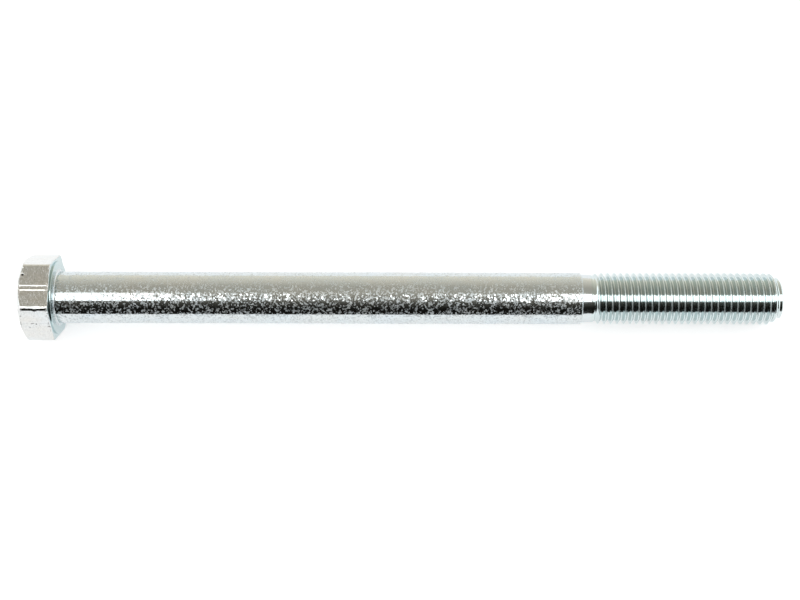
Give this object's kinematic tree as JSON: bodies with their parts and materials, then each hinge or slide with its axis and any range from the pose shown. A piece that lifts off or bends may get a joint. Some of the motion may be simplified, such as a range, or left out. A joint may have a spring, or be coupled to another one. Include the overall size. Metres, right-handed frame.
{
  "type": "hex bolt",
  "caption": "Long partly threaded hexagon head bolt in bright zinc-plated steel, with a washer face, plain shank, thread neck and chamfered point.",
  "frame": {"origin": "centre of the head's top face", "axes": "+X along the bolt's axis from the head to the point, +Z square to the wrench flat that is uppermost as it lies"},
  "size_m": [0.232, 0.0276, 0.024],
  "materials": {
    "forged_zinc": "bright zinc plate over a cold-forged and trimmed head, with fine shear marks across the flats",
    "turned_zinc": "bright zinc plate over a turned bearing face, with a faint blue passivation",
    "drawn_zinc": "bright zinc plate over drawn bar, glossy with fine pitting",
    "rolled_zinc": "bright zinc plate over a rolled thread, burnished at the crests"
  },
  "bodies": {
    "root": {"hex_head": "forged_zinc", "washer_face": "turned_zinc", "shank": "drawn_zinc", "thread_neck": "drawn_zinc", "rolled_thread": "rolled_zinc", "chamfered_point": "rolled_zinc"}
  },
  "joints": []
}
